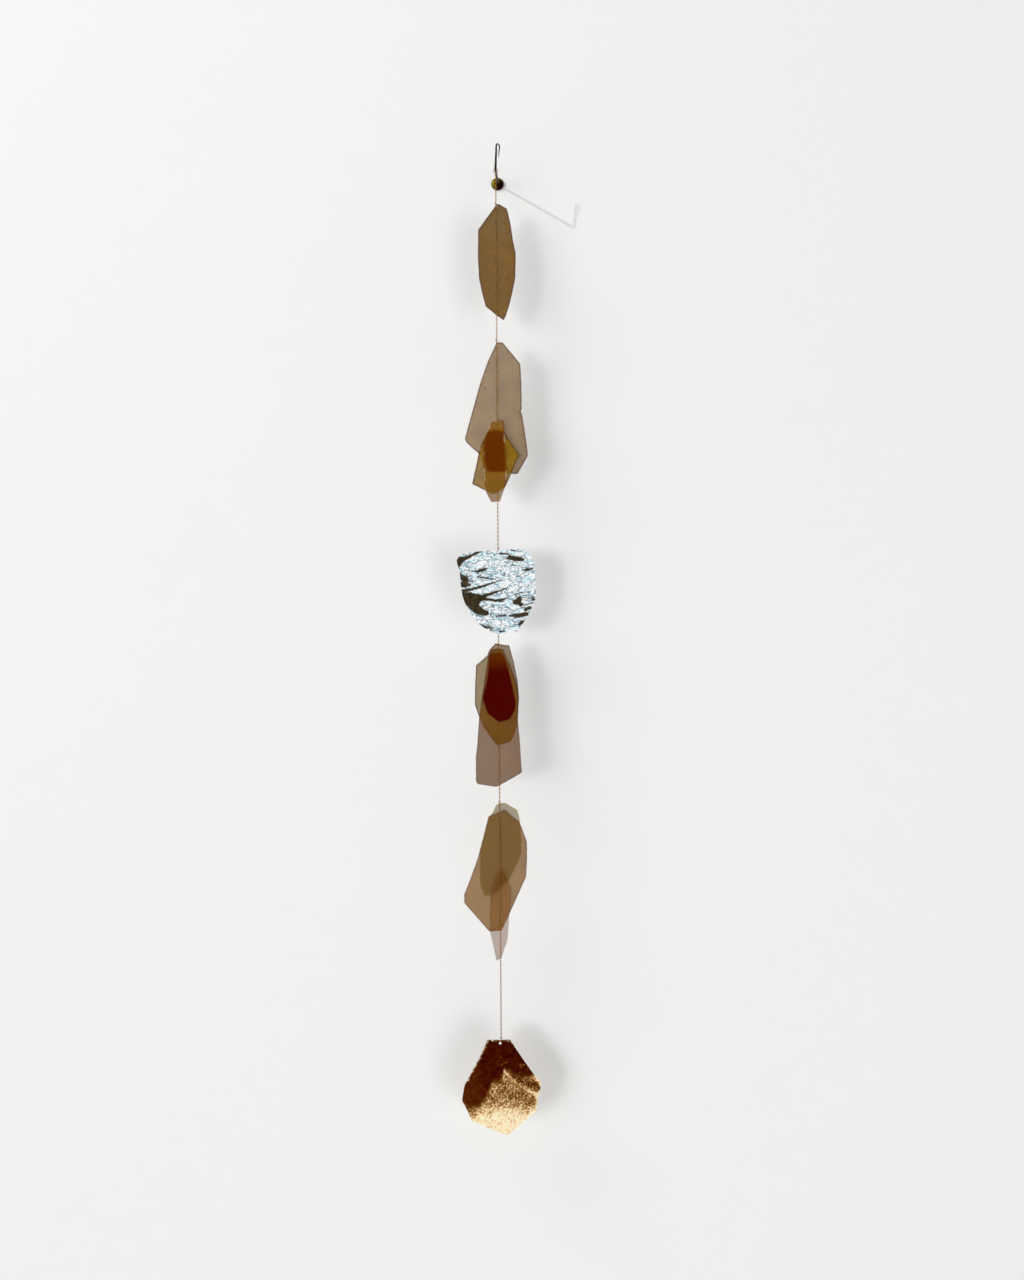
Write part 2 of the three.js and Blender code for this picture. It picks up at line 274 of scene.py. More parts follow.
def panel(name, place, aim, size, power):
    light = bpy.data.lights.new(name, "AREA")
    light.shape = "RECTANGLE"
    light.size, light.size_y = size
    light.energy = power
    made = add(name, light)
    made.location = place
    made.rotation_mode = "QUATERNION"
    made.rotation_quaternion = (Vector(aim) - Vector(place)).to_track_quat("-Z", "Y")
    return made


def set_lights():
    """Returns the four lights whose shadows are seen on the wall."""
    window = sun("window", (0.58, 0.81, -0.03), 0.50, 24)
    lamp = sun("lamp", (0.686, 0.623, -0.374), 0.95, 0.9)
    left = sun("low left", (0.42, 1.0, 0.03), 0.62, 13)
    right = sun("low right", (-0.40, 1.0, 0.18), 0.56, 24)
    panel("high window", (-1.5, -1.3, 1.2), (-0.2, 0, -0.1), (1.0, 1.0), 10.5)
    for light in (left, right):
        light.visible_glossy = False
    set_room_glow()
    return window, lamp, left, right


def lets_pass(light, pieces):
    """Keeps pieces out of a light's shadows: thin mica hardly stops it, and the lamp draws the arm alone."""
    clear = bpy.data.collections.new(light.name + " passes")
    for made in pieces:
        clear.objects.link(made)
    light.light_linking.blocker_collection = clear
    for entry in clear.collection_objects:
        entry.light_linking.link_state = "EXCLUDE"


def set_room_glow():
    """A soft glow from the ceiling and both sides. The camera itself sees plain pale grey past the wall."""
    world = bpy.data.worlds.new("room")
    scene.world = world
    world.use_nodes = True
    nodes = Nodes(world.node_tree)
    heading = nodes.node("TexCoord", out="Generated")
    across, up = nodes.axis(heading, 0), nodes.axis(heading, 2)
    ceiling = nodes.ramp(up, 0.25, 0.85) * 0.42
    left = nodes.ramp(across * -1, 0.35, 0.9) * 0.20
    right = nodes.ramp(across, 0.5, 1.0) * 0.12
    glow = (ceiling + left) + (right + 0.04)
    sky = nodes.node("Background", {}, {"Color": (1.0, 1.0, 1.0), "Strength": glow})
    plain = nodes.node("Background", {}, {"Color": (0.82, 0.82, 0.81)})
    seen = nodes.node("LightPath", out="Is Camera Ray")
    mixed = nodes.node("MixShader", {}, {0: seen, 1: sky, 2: plain})
    nodes.node("OutputWorld", {}, {0: mixed})


# ---- Pieces in general ----


def piece(name, mesh, material, node, smooth=40):
    """Puts a mesh, already in its place, in the scene as the piece that stands for a CAD node."""
    made = add(name, mesh)
    mesh.materials.clear()
    mesh.materials.append(material)
    mesh.polygons.foreach_set("use_smooth", [True] * len(mesh.polygons))
    mesh.set_sharp_from_angle(angle=math.radians(smooth))
    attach(made, "root")
    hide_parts(node)
    return made


def mesh_of(name, points, faces, marks=None):
    mesh = bpy.data.meshes.new(name)
    mesh.from_pydata([tuple(p) for p in points], [], faces)
    for mark, values in (marks or {}).items():
        mesh.attributes.new(mark, "FLOAT", "POINT").data.foreach_set("value", values)
    mesh.validate()
    return mesh


def faced_out(mesh):
    """Turns every face of a closed mesh outwards."""
    shape = bmesh.new()
    shape.from_mesh(mesh)
    bmesh.ops.recalc_face_normals(shape, faces=shape.faces)
    shape.to_mesh(mesh)
    shape.free()
    return mesh


def cad_shape(node):
    """A CAD node's mesh, with its loose triangles joined."""
    shape = bmesh.new()
    shape.from_mesh(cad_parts[node].data)
    bmesh.ops.remove_doubles(shape, verts=shape.verts, dist=1e-6)
    shape.normal_update()
    return shape


def wavy(x, y, size, seat=0.0):
    """Smooth noise from about -1 to 1 over a plate. x, y and the waves' size are in millimetres."""
    return noise.noise((x / size + seat, y / size - seat, seat * 0.37))


# ---- Flat plates, cut from the CAD outline ----


class Cut:
    """A CAD plate's own plane, outline and hole, in millimetres right and up from the hole's middle."""

    def __init__(self, node):
        shape = cad_shape(node)
        facing = max(shape.faces, key=lambda f: f.calc_area()).normal
        self.out = -facing.normalized() if facing.y > 0 else facing.normalized()
        self.right = UP.cross(self.out)
        depths = {v: v.co.dot(self.out) for v in shape.verts}
        low, high = min(depths.values()), max(depths.values())
        # A dict keeps the faces in their order, which a set would not do, so each run gives the same loops.
        front = dict.fromkeys(f for f in shape.faces if all(depths[v] > (low + high) / 2 for v in f.verts))
        rim = {}
        for f in front:
            for loop in f.loops:
                if any(g not in front for g in loop.edge.link_faces):
                    rim[loop.vert] = loop.link_loop_next.vert
        loops = []
        while rim:
            start, here = next(iter(rim.items()))
            loop = [start]
            while here != start:
                loop.append(here)
                here = rim[here]
            for v in loop:
                del rim[v]
            loops.append([v.co.copy() for v in loop])
        self.thickness = (high - low) / MM
        loops.sort(key=lambda loop: max(p.z for p in loop) - min(p.z for p in loop))
        middle = sum(loops[0], Vector()) / len(loops[0])
        self.origin = middle - self.out * (self.thickness / 2 * MM)
        self.hole, self.outline = ([self.flat(p) for p in loop] for loop in loops)
        shape.free()

    def flat(self, point):
        away = point - self.origin
        return (away.dot(self.right) / MM, away.z / MM)

    def solid(self, x, y, out):
        return self.origin + (self.right * x + UP * y + self.out * out) * MM


def spaced(loop, step):
    """The closed loop again, with points about step apart along its straight runs."""
    points = []
    for (ax, ay), (bx, by) in zip(loop, loop[1:] + loop[:1]):
        parts = max(1, round(math.hypot(bx - ax, by - ay) / step))
        points += [(ax + (bx - ax) * i / parts, ay + (by - ay) * i / parts) for i in range(parts)]
    return points


def moved_in(loop, i, shift):
    """Point i of a loop that runs anticlockwise, moved inwards by shift."""
    (px, py), (x, y), (nx, ny) = loop[i - 1], loop[i], loop[(i + 1) % len(loop)]
    size = math.hypot(nx - px, ny - py) or 1
    return (x - (ny - py) / size * shift, y + (nx - px) / size * shift)


def hand_cut(loop, wander, seat):
    """Moves each point in from the true line by a little that changes slowly, as shears leave it."""
    made = []
    for i, (x, y) in enumerate(loop):
        shift = wander * (0.5 + 0.5 * wavy(x, y, 5, seat) + 0.35 * wavy(x, y, 1.3, seat))
        made.append(moved_in(loop, i, shift))
    return made if swept(made) > 0 else made[::-1]


def swept(loop):
    """Twice the area inside a loop, less than 0 where it runs clockwise."""
    return sum(ax * by - bx * ay for (ax, ay), (bx, by) in zip(loop, loop[1:] + loop[:1]))


def smaller(loop, share):
    return [(share * x, share * y) for x, y in loop]


def within(points, loop):
    """For many points at once, which of them lie inside the loop."""
    points = np.asarray(points)
    hit = np.zeros(len(points), bool)
    for (ax, ay), (bx, by) in zip(loop, loop[1:] + loop[:1]):
        if ay == by:
            continue
        crosses = (ay > points[:, 1]) != (by > points[:, 1])
        hit ^= crosses & (points[:, 0] < (bx - ax) * (points[:, 1] - ay) / (by - ay) + ax)
    return hit


def distance_to(points, loop):
    """How far each point lies from the nearest spot of the closed loop."""
    points = np.asarray(points, float)
    nearest = np.full(len(points), 1e9)
    for a, b in zip(loop, loop[1:] + loop[:1]):
        a, b = np.array(a), np.array(b)
        along = b - a
        share = np.clip((points - a) @ along / max(along @ along, 1e-12), 0, 1)
        nearest = np.minimum(nearest, np.hypot(*(points - a - share[:, None] * along).T))
    return nearest


def inset(loop, depth):
    """An anticlockwise loop moved inwards by depth, without the points that come too close to it."""
    made = np.array([moved_in(loop, i, depth) for i in range(len(loop))])
    keep = within(made, loop) & (distance_to(made, loop) > depth * 0.8)
    return made[keep]


ROW_STEP = 0.866  # how far apart the rows of a three-sided grid are, as a share of its step
SEED_WANDER = 0.2  # how far a seed strays from the grid, as a share of its step
HOLE_CLEARANCE = 0.25  # no seed lies nearer to the hole, in millimetres


def filling(outline, hole, grid, rims):
    """Points between the outline and the hole: a row along the edge at each depth in rims, then a grid."""
    lo = np.min(outline, axis=0)
    hi = np.max(outline, axis=0)
    stray = SEED_WANDER * grid
    seeds = []
    for j, y in enumerate(np.arange(lo[1], hi[1], grid * ROW_STEP)):
        for x in np.arange(lo[0] + (j % 2) * grid / 2, hi[0], grid):
            seeds.append((x + stray * wavy(x, y, 0.7), y + stray * wavy(x, y, 0.7, 5.0)))
    seeds = np.array(seeds)
    seeds = seeds[within(seeds, outline)]
    seeds = seeds[distance_to(seeds, outline) > max(rims) + 0.4 * grid]
    rows = [inset(outline, depth) for depth in rims]
    seeds = np.concatenate([*rows, seeds])
    seeds = seeds[~within(seeds, hole)]
    return seeds[distance_to(seeds, hole) > HOLE_CLEARANCE]


SPLIT_DEPTH = 0.06  # how far the layers go in and out along the cut edge, in millimetres


def sheet_mesh(name, cut, grid, outline, hole, front, back, marks, rims=(0.35, 0.75)):
    """A closed sheet. front and back give each face's height from the middle plane at (x, y)."""
    loops = [outline, hole]
    starts = [0, len(outline)]
    rim_count = len(outline) + len(hole)
    points = [Vector(p) for loop in loops for p in loop]
    edges = []
    for start, loop in zip(starts, loops):
        edges += [(start + i, start + (i + 1) % len(loop)) for i in range(len(loop))]
    points += [Vector(p) for p in filling(outline, hole, grid, rims)]
    flat, _, faces, *_ = delaunay_2d_cdt(points, edges, [], 0, 1e-5)
    flat = np.array([(p.x, p.y) for p in flat])
    middles = np.array([flat[list(f)].mean(0) for f in faces])
    keep = within(middles, outline) & ~within(middles, hole)
    faces = [f for f, k in zip(faces, keep) if k]
    if sum(swept([flat[i] for i in f]) for f in faces) < 0:
        faces = [f[::-1] for f in faces]

    count = len(flat)
    fronts = [front(x, y) for x, y in flat]
    backs = [back(x, y) for x, y in flat]
    solid = [cut.solid(x, y, h) for (x, y), h in zip(flat, fronts)]
    solid += [cut.solid(x, y, h) for (x, y), h in zip(flat, backs)]
    walls = [tuple(f) for f in faces] + [tuple(i + count for i in f[::-1]) for f in faces]
    # The cut edge between the two faces goes in and out a little half way, as split layers do.
    middle = []
    for start, loop in zip(starts, loops):
        for i, (x, y) in enumerate(loop):
            k = start + i
            middle.append(len(solid))
            shifted = moved_in(loop, i, SPLIT_DEPTH * wavy(x, y, 0.9, 3.0))
            solid.append(cut.solid(*shifted, (fronts[k] + backs[k]) / 2))
    bands = [list(range(rim_count)), middle, [i + count for i in range(rim_count)]]
    for start, loop in zip(starts, loops):
        backwards = (swept(loop) > 0) != (loop is outline)
        for i in range(len(loop)):
            a, b = start + i, start + (i + 1) % len(loop)
            if backwards:
                a, b = b, a
            for upper, lower in zip(bands, bands[1:]):
                walls.append((upper[b], upper[a], lower[a], lower[b]))
    values = {}
    for mark, worth in marks.items():
        on_face = np.asarray(worth(flat), float)
        values[mark] = np.concatenate([on_face, on_face, on_face[:rim_count]])
    return mesh_of(name, solid, walls, values)


def near_edge(loop, reach):
    """1 on the loop, falling to 0 at reach from it."""
    return lambda points: np.clip(1.5 - 1.5 * distance_to(points, loop) / reach, 0, 1)


def noise_at(points, size, seat=0.0):
    return np.array([wavy(x, y, size, seat) for x, y in points])


def inside_by(points, shape):
    """How far each point lies inside the closed shape, less than 0 outside."""
    away = distance_to(points, shape)
    return np.where(within(points, shape), away, -away)


def soft(value, low, high):
    """Eases from 0 where value is low to 1 where it is high."""
    share = np.clip((value - low) / (high - low), 0, 1)
    return share * share * (3 - 2 * share)


# ---- Mica ----

# see is the plain alpha of each face of a plate, and body the colour of what the sheet scatters. away is
# the way its sides bend, -1 towards the wall and 1 away from it. The flake share is how much of its rim has
# split into flakes, painted pale as the glint they catch, and rim the cut edge's colour as a share of the
# body's; a rim above 1, as on 5a, is a painted highlight along the edge. Where a plate lies on a darker one,
# painted shade darkens it: over names that plate, the colour given with it is the body's colour there, and
# wider is how far the painted shade reaches past it to the left and upwards, in millimetres.
MICA = {
    "1": dict(slot="mica_amber", see=0.79, body=(0.190, 0.087, 0.0), away=-1, flake_glint_share=0.1, rim=0.45),
    "2a": dict(slot="mica_pale", see=0.70, body=(0.286, 0.184, 0.086), away=-1, flake_glint_share=0.1, rim=0.35),
    "2b": dict(slot="mica_amber", see=0.90, body=(0.142, 0.018, 0.0), away=-1, flake_glint_share=0.7, rim=0.5),
    "2c": dict(slot="mica_amber", see=0.725, body=(0.262, 0.140, 0.004), away=1, flake_glint_share=0.45, rim=0.35),
    "2d": dict(
        slot="mica_pale", see=0.60, body=(0.250, 0.108, 0.005), away=1, flake_glint_share=0.8, rim=0.6,
        over="2b", stain=(0.132, 0.020, 0.0), wider=(3.0, 7.0),
    ),
    "4a": dict(slot="mica_pale", see=0.70, body=(0.262, 0.180, 0.079), away=-1, flake_glint_share=0.1, rim=0.35),
    "4b": dict(slot="mica_red", see=0.975, body=(0.069, 0.001, 0.0), away=1, flake_glint_share=0.1, rim=0.5),
    "4c": dict(
        slot="mica_pale", see=0.63, body=(0.168, 0.063, 0.0), away=1, flake_glint_share=0.1, rim=0.5,
        over="4b", stain=(0.076, 0.001, 0.0),
    ),
    # 5a's pale rim is a painted highlight along its edge.
    "5a": dict(slot="mica_pale", see=0.56, body=(0.242, 0.187, 0.098), away=-1, flake_glint_share=0.5, rim=1.5),
    "5b": dict(
        slot="mica_amber", see=0.668, body=(0.246, 0.114, 0.012), away=-1, flake_glint_share=0.15, rim=0.35,
        over="5a", stain=(0.186, 0.091, 0.014),
    ),
    "5c": dict(
        slot="mica_pale", see=0.365, body=(0.222, 0.082, 0.0), away=1, flake_glint_share=0.2, rim=0.4,
        over="5a", stain=(0.130, 0.040, 0.0),
    ),
}

# Specks in the sheets: middle across and up in metres, radius across and up in millimetres, colour.
DARK_SPECK = (0.012, 0.006, 0.004)
RUST_SPECK = (0.10, 0.030, 0.018)
SPECKS = {
    "2a": [(-0.0134, -0.2196, 0.5, 2.4, RUST_SPECK), (-0.0160, -0.2150, 0.35, 1.5, RUST_SPECK)],
    "4b": [
        (-0.0084, -0.5296, 1.2, 1.4, (0.16, 0.016, 0.0)), (-0.0024, -0.5357, 1.0, 1.2, (0.13, 0.010, 0.0)),
        (0.0065, -0.5397, 1.5, 1.0, (0.14, 0.012, 0.0)),
    ],
    "4c": [
        (-0.0057, -0.5786, 1.1, 0.9, RUST_SPECK), (-0.0201, -0.5921, 0.7, 0.6, RUST_SPECK),
        (0.0070, -0.5853, 0.8, 0.7, RUST_SPECK), (0.0023, -0.5817, 0.5, 0.5, RUST_SPECK),
    ],
    "5b": [
        (-0.0162, -0.7016, 0.6, 1.0, DARK_SPECK), (-0.0040, -0.7201, 0.7, 0.7, DARK_SPECK),
        (-0.0113, -0.7180, 0.5, 0.5, DARK_SPECK), (-0.0086, -0.7186, 0.6, 0.5, RUST_SPECK),
        (-0.0095, -0.7215, 1.8, 1.0, RUST_SPECK), (0.0061, -0.7137, 0.6, 0.6, RUST_SPECK),
    ],
}


def darker(colour, share):
    return tuple(c * share for c in colour)


def darkened_head(paint, name, colour, clouds):
    """The red of 4b, and the painted shade where 4c lies over 4b, turn brown at the head."""
    head = paint.ramp(paint.axis(paint.place(), 2) + (clouds - 0.5) * 0.02, -0.504, -0.485)
    if name == "4c":
        head = head * paint.mark("stain")
    return paint.blend(head, colour, (0.13, 0.026, 0.0))


def top_and_band(paint, colour, body):
    """The olive top of plate 1, and the darker line that a thicker layer draws across it."""
    up = paint.axis(paint.place(), 2)
    colour = paint.blend(paint.ramp(up, -0.09, -0.045) * 0.5, colour, (0.17, 0.10, 0.02))
    band = paint.ramp(up, -0.1125, -0.1095) * (1 - paint.ramp(up, -0.1085, -0.1065))
    return paint.blend(band * 0.35, colour, darker(body, 0.75))


def layer_step(paint, colour, body):
    """The slanted step where one layer of plate 2a ends."""
    below = paint.along((0.556, 0, 0.831)) + 0.2067
    side = paint.axis(paint.place(), 0)
    step = (1 - paint.ramp(below, -0.0004, 0.0003)) * paint.ramp(side, -0.004, 0.012)
    return paint.blend(step * 0.15, colour, darker(body, 0.78))


def speckled(paint, name, colour):
    flat_spot = paint.node("VectorMath", {"operation": "MULTIPLY"}, {0: paint.place(), 1: (1, 0, 1)})
    for x, z, wide, tall, tint in SPECKS.get(name, ()):
        moved = (-x / wide / MM, 0, -z / tall / MM)
        scaled = (1 / wide / MM, 1, 1 / tall / MM)
        seen = paint.node(
            "Mapping", {"vector_type": "POINT"}, {"Vector": flat_spot, "Location": moved, "Scale": scaled}
        )
        away = paint.node("VectorMath", {"operation": "LENGTH"}, {0: seen}, out=1)
        colour = paint.blend((1 - paint.ramp(away, 0.5, 1.2)) * 0.9, colour, tint)
    return colour


def mica_paint(name, facts):
    body, rim = facts["body"], facts["rim"]
    paint = Paint("mica sheet " + name, Alpha=facts["see"], IOR=1.56, Specular_IOR_Level=0.2)
    clouds = paint.grain(0.016, 4, seat=(body[1] * 3, 0, 0))
    grain = paint.grain(0.0022, 4, squeeze=(1, 1, 0.4))
    colour = paint.blend(paint.ramp(clouds, 0.3, 0.7), darker(body, 0.90), darker(body, 1.10))
    colour = paint.blend(paint.ramp(grain, 0.4, 0.8) * 0.18, colour, darker(body, 1.25))
    # Painted shade: the body is darker where the plate lies over a darker plate.
    if "over" in facts:
        colour = paint.blend(paint.mark("stain"), colour, facts["stain"])
    if name in ("4b", "4c"):
        colour = darkened_head(paint, name, colour, clouds)
    if name == "1":
        colour = top_and_band(paint, colour, body)
    if name == "2a":
        colour = layer_step(paint, colour, body)
    colour = speckled(paint, name, colour)
    # A rim above 1, as on 5a, is a painted highlight along the edge.
    redness = 0.3 if rim < 1 else 1  # a dark edge is redder than the sheet, a pale one is not
    edge_colour = (body[0] * rim, body[1] * rim * redness, 0.0)
    colour = paint.blend(paint.mark("edge") * 0.9, colour, edge_colour)
    # Split flakes along the rim, painted pale as the glint they catch.
    flake = paint.ramp(paint.grain(0.0013, 3, seat=(0.3, 0, 0)) + paint.mark("flake") * 0.5, 0.78, 0.92)
    colour = paint.blend(flake * 0.85, colour, (0.62, 0.50, 0.34))
    rough = paint.ramp(grain, 0.3, 0.8, (0.14, 0.26))
    bump = paint.dent(paint.grain(0.010, 3), 0.0003, 0.4)
    return paint.feed(Base_Color=colour, Roughness=rough, Normal=bump)


MICA_GRID = 1.6  # millimetres between a sheet's points
OVERLAP_SHADE_GRID = 0.8  # closer where the edge of the painted overlap shade is drawn


def overlap_shade_outline(cut, facts):
    """The outline of the darker plate underneath as it lies on this one, where painted shade goes."""
    under = Cut(f"plate_{facts['over']}_mica")
    shade = [cut.flat(under.solid(x, y, 0)) for x, y in under.outline]
    left, up = facts.get("wider", (0, 0))
    middle = [sum(c) / len(shade) for c in zip(*shade)]
    return [(x - left * (x < middle[0]), y + up * (y > middle[1])) for x, y in shade]


def mica_plate(name):
    facts = MICA[name]
    node = f"plate_{name}_mica"
    cut = Cut(node)
    seat = sum(ord(c) for c in name) * 0.61
    outline = hand_cut(spaced(cut.outline, 0.9), 0.28, seat)
    hole = smaller(spaced(cut.hole, 0.3), 0.6)
    half = cut.thickness / 2

    def bow(x, y):
        return facts["away"] * 0.5 * (x / 20) ** 2 + 0.1 * wavy(x, y, 22, seat)

    def front(x, y):
        return bow(x, y) + half * (0.82 + 0.25 * wavy(x, y, 9, seat))

    def back(x, y):
        return bow(x, y) - half * (0.82 + 0.25 * wavy(x, y, 11, seat + 4))

    # Where the rim has split into flakes, which are painted pale as the glint they catch.
    def flake(points):
        patch = soft(noise_at(points, 9, seat + 2), -0.25, 0.35)
        reach = soft(-distance_to(points, outline), -3.2, -0.1)
        return reach * patch * facts["flake_glint_share"]

    marks = {"edge": near_edge(outline, 1.3), "flake": flake}
    grid = MICA_GRID
    # The painted overlap shade, drawn on a finer grid.
    if "over" in facts:
        shade = overlap_shade_outline(cut, facts)
        marks["stain"] = lambda points: soft(inside_by(points, shade), -0.3, 0.4)
        grid = OVERLAP_SHADE_GRID
    mesh = sheet_mesh(node, cut, grid, outline, hole, front, back, marks)
    return piece(f"plate-{name}-mica", mesh, mica_paint(name, facts), node)


# ---- The silvered plate ----

# Where the leaf is dark, in millimetres right and up from the plate's hole: patches by their outlines, then
# lines from one point to another with their half width.
DARK_PATCHES = [
    [
        (-42.5, -8.0), (-37.5, -5.0), (-32.0, -4.6), (-27.5, -3.4), (-20.8, 0.0), (-14.2, 1.2),
        (-18.3, -1.1), (-23.3, -3.5), (-28.3, -6.4), (-33.0, -9.0), (-36.0, -12.5), (-38.2, -17.0),
        (-41.2, -17.2), (-42.5, -11.7),
    ],
    [(-38.2, -20.4), (-33.4, -23.3), (-26.9, -28.9), (-33.4, -29.8), (-36.9, -26.5)],
    [(-36.6, -30.6), (-31.0, -30.1), (-25.3, -33.0), (-33.4, -35.4), (-36.1, -34.3)],
    [
        (-35.8, -37.5), (-25.3, -36.2), (-10.8, -32.2), (4.4, -28.1), (-10.8, -34.0), (-22.9, -37.9),
        (-33.4, -40.2),
    ],
    [
        (-35.8, -39.4), (-22.9, -41.3), (-15.3, -43.4), (-9.2, -41.3), (2.0, -38.4), (12.5, -35.4),
        (-1.2, -40.8), (-11.6, -45.0), (-9.2, -46.5), (-2.0, -47.5), (6.1, -46.8), (11.7, -45.4),
        (6.1, -48.3), (-2.0, -49.9), (-10.8, -48.3), (-16.5, -49.4), (-18.9, -52.3), (-15.3, -56.3),
        (-9.2, -59.5), (-8.4, -61.9), (-10.8, -63.5), (-21.3, -61.9), (-27.7, -56.3), (-33.4, -50.7),
        (-35.3, -45.0),
    ],
    [
        (15.7, -48.3), (18.9, -47.5), (22.1, -44.6), (24.6, -46.7), (23.8, -50.7), (27.0, -53.1),
        (23.0, -54.7), (19.7, -52.6), (15.7, -52.3),
    ],
    [
        (10.9, -1.6), (14.1, -4.0), (23.0, -5.3), (27.0, -7.2), (26.2, -9.2), (18.1, -9.2), (12.5, -7.6),
        (8.5, -7.2), (11.7, -4.8),
    ],
    [
        (-24.5, -19.3), (-18.9, -18.8), (-17.3, -16.9), (-9.2, -16.1), (-10.8, -18.2), (-14.9, -19.3),
        (-18.9, -20.4),
    ],
    [(26.5, -18.8), (29.4, -16.6), (35.8, -16.2), (35.5, -17.7), (30.2, -18.8)],
    [
        (10.9, -63.5), (18.1, -62.3), (26.2, -61.1), (31.0, -61.1), (30.2, -63.5), (24.6, -65.2),
        (16.5, -65.5),
    ],
    [(20.5, -73.2), (23.0, -69.7), (26.5, -68.7), (25.8, -71.3), (23.0, -73.5)],
    [
        (-18.1, -71.6), (-13.3, -73.5), (-9.2, -75.1), (-4.4, -75.6), (-6.3, -76.7), (-12.4, -76.1),
        (-16.5, -74.0),
    ],
]
DARK_LINES = [
    (-19.7, -24.9, -13.3, -25.9, 0.6), (-13.3, -25.9, -2.0, -27.5, 0.5), (14.1, 1.4, 19.7, 0.8, 0.6),
    (2.8, -1.6, 10.1, -2.1, 0.8), (-1.2, -64.3, 8.5, -63.5, 0.7), (27.8, -57.9, 33.4, -56.3, 0.9),
    (2.0, -79.6, 6.9, -79.3, 0.7), (-6.8, -78.4, -4.4, -78.0, 0.5), (35.5, -47.5, 37.4, -48.0, 0.7),
    (17.2, -43.0, 25.0, -40.6, 0.4), (27.0, -53.5, 36.5, -51.0, 0.35), (31.0, -69.0, 33.0, -66.0, 0.5),
    (-35.0, -30.0, -24.2, -29.0, 0.4), (1.7, -50.0, 6.7, -49.2, 0.5), (27.5, -56.7, 32.5, -55.0, 0.5),
    (27.5, -59.4, 31.7, -56.9, 0.5), (-25.8, -19.2, -21.7, -19.6, 0.45), (35.0, -44.5, 35.2, -48.5, 0.6),
    (-31.5, -25.0, -26.0, -23.6, 0.35), (-7.6, -78.0, -7.4, -78.6, 0.5), (16.7, -70.2, 16.9, -70.8, 0.5),
]
CRINKLE_RISE = math.radians(24)  # the creases climb to the right by this much


def crease(x, y, long, short, seat):
    """A sharp-topped fold from 0 to 1, drawn out along the creases' own direction."""
    along = x * math.cos(CRINKLE_RISE) + y * math.sin(CRINKLE_RISE)
    across = -x * math.sin(CRINKLE_RISE) + y * math.cos(CRINKLE_RISE)
    return 1 - 2 * abs(noise.noise((along / long + seat, across / short, seat)))


def worn(points):
    """1 where the leaf is dark, 0 where it is pale."""
    wander = 0.55 * noise_at(points, 2.4, 7.7) + 0.35 * noise_at(points, 1.1, 2.1)
    patched = np.zeros(len(points))
    for patch in DARK_PATCHES:
        patched = np.maximum(patched, soft(inside_by(points, patch) + wander + 0.35, -0.3, 0.3))
    for ax, ay, bx, by, width in DARK_LINES:
        away = distance_to(points, [(ax, ay), (bx, by)])
        patched = np.maximum(patched, soft(width + 0.15 - away + wander * width, -0.25, 0.25))
    return patched


def silver_paint():
    paint = Paint("silver leaf finish", IOR=1.5, Specular_IOR_Level=0.12)
    patched = paint.mark("worn")
    fold = paint.mark("fold")
    slanted = dict(squeeze=(0.5, 1, 1), turn=(0, CRINKLE_RISE, 0))
    fine = paint.grain(0.0040, 3, twist=1.2, **slanted)
    wrinkle_shade = paint.ramp(abs(fine - 0.5), 0.0, 0.065)
    wide = paint.grain(0.009, 3, twist=0.8, **slanted)
    furrow_shade = paint.ramp(abs(wide - 0.5), 0.0, 0.024)
    # Painted highlight: the leaf is painted brighter on the folds' crests.
    leaf = paint.blend(paint.ramp(fold, 0.1, 0.7), (0.70, 0.93, 1.0), (1.0, 1.0, 1.0))
    # Painted shade in the creases: fine dark blue lines and wider near-black furrows.
    leaf = paint.blend((1 - wrinkle_shade) * 0.9, leaf, (0.09, 0.26, 0.37))
    leaf = paint.blend((1 - furrow_shade) * 0.9, leaf, (0.05, 0.07, 0.075))
    mottle = paint.ramp(paint.grain(0.003, 3), 0.3, 0.7)
    patch_colour = paint.blend(mottle, (0.024, 0.015, 0.004), (0.058, 0.042, 0.022))
    colour = paint.blend(patched, leaf, patch_colour)
    rough = paint.ramp(patched, 0.2, 0.8, (0.34, 0.6))
    metal = paint.ramp(patched, 0.2, 0.8, (0.08, 0.0))
    bump = paint.dent(fine, 0.0005, 0.5)
    return paint.feed(Base_Color=colour, Roughness=rough, Metallic=metal, Normal=bump)


def silver_plate():
    node = "plate_3_silver"
    cut = Cut(node)
    outline = hand_cut(spaced(cut.outline, 0.7), 0.35, 1.7)
    hole = smaller(spaced(cut.hole, 0.4), 0.7)

    def folds(x, y):
        broad = crease(x, y, 12, 4.5, 1.3)
        middling = crease(x, y, 6, 2.4, 8.2)
        small = crease(x, y, 3, 1.3, 4.4)
        return 0.5 * broad + 0.3 * middling + 0.2 * small

    def front(x, y):
        return 0.15 + 0.75 * folds(x, y)

    def back(x, y):
        return -0.4 + 0.25 * folds(x, y)

    marks = {"worn": worn, "fold": lambda points: [folds(x, y) for x, y in points]}
    mesh = sheet_mesh(node, cut, 0.7, outline, hole, front, back, marks, rims=(0.4,))
    return piece("plate-3-silver", mesh, silver_paint(), node, smooth=60)


# ---- The copper-bronze plate ----

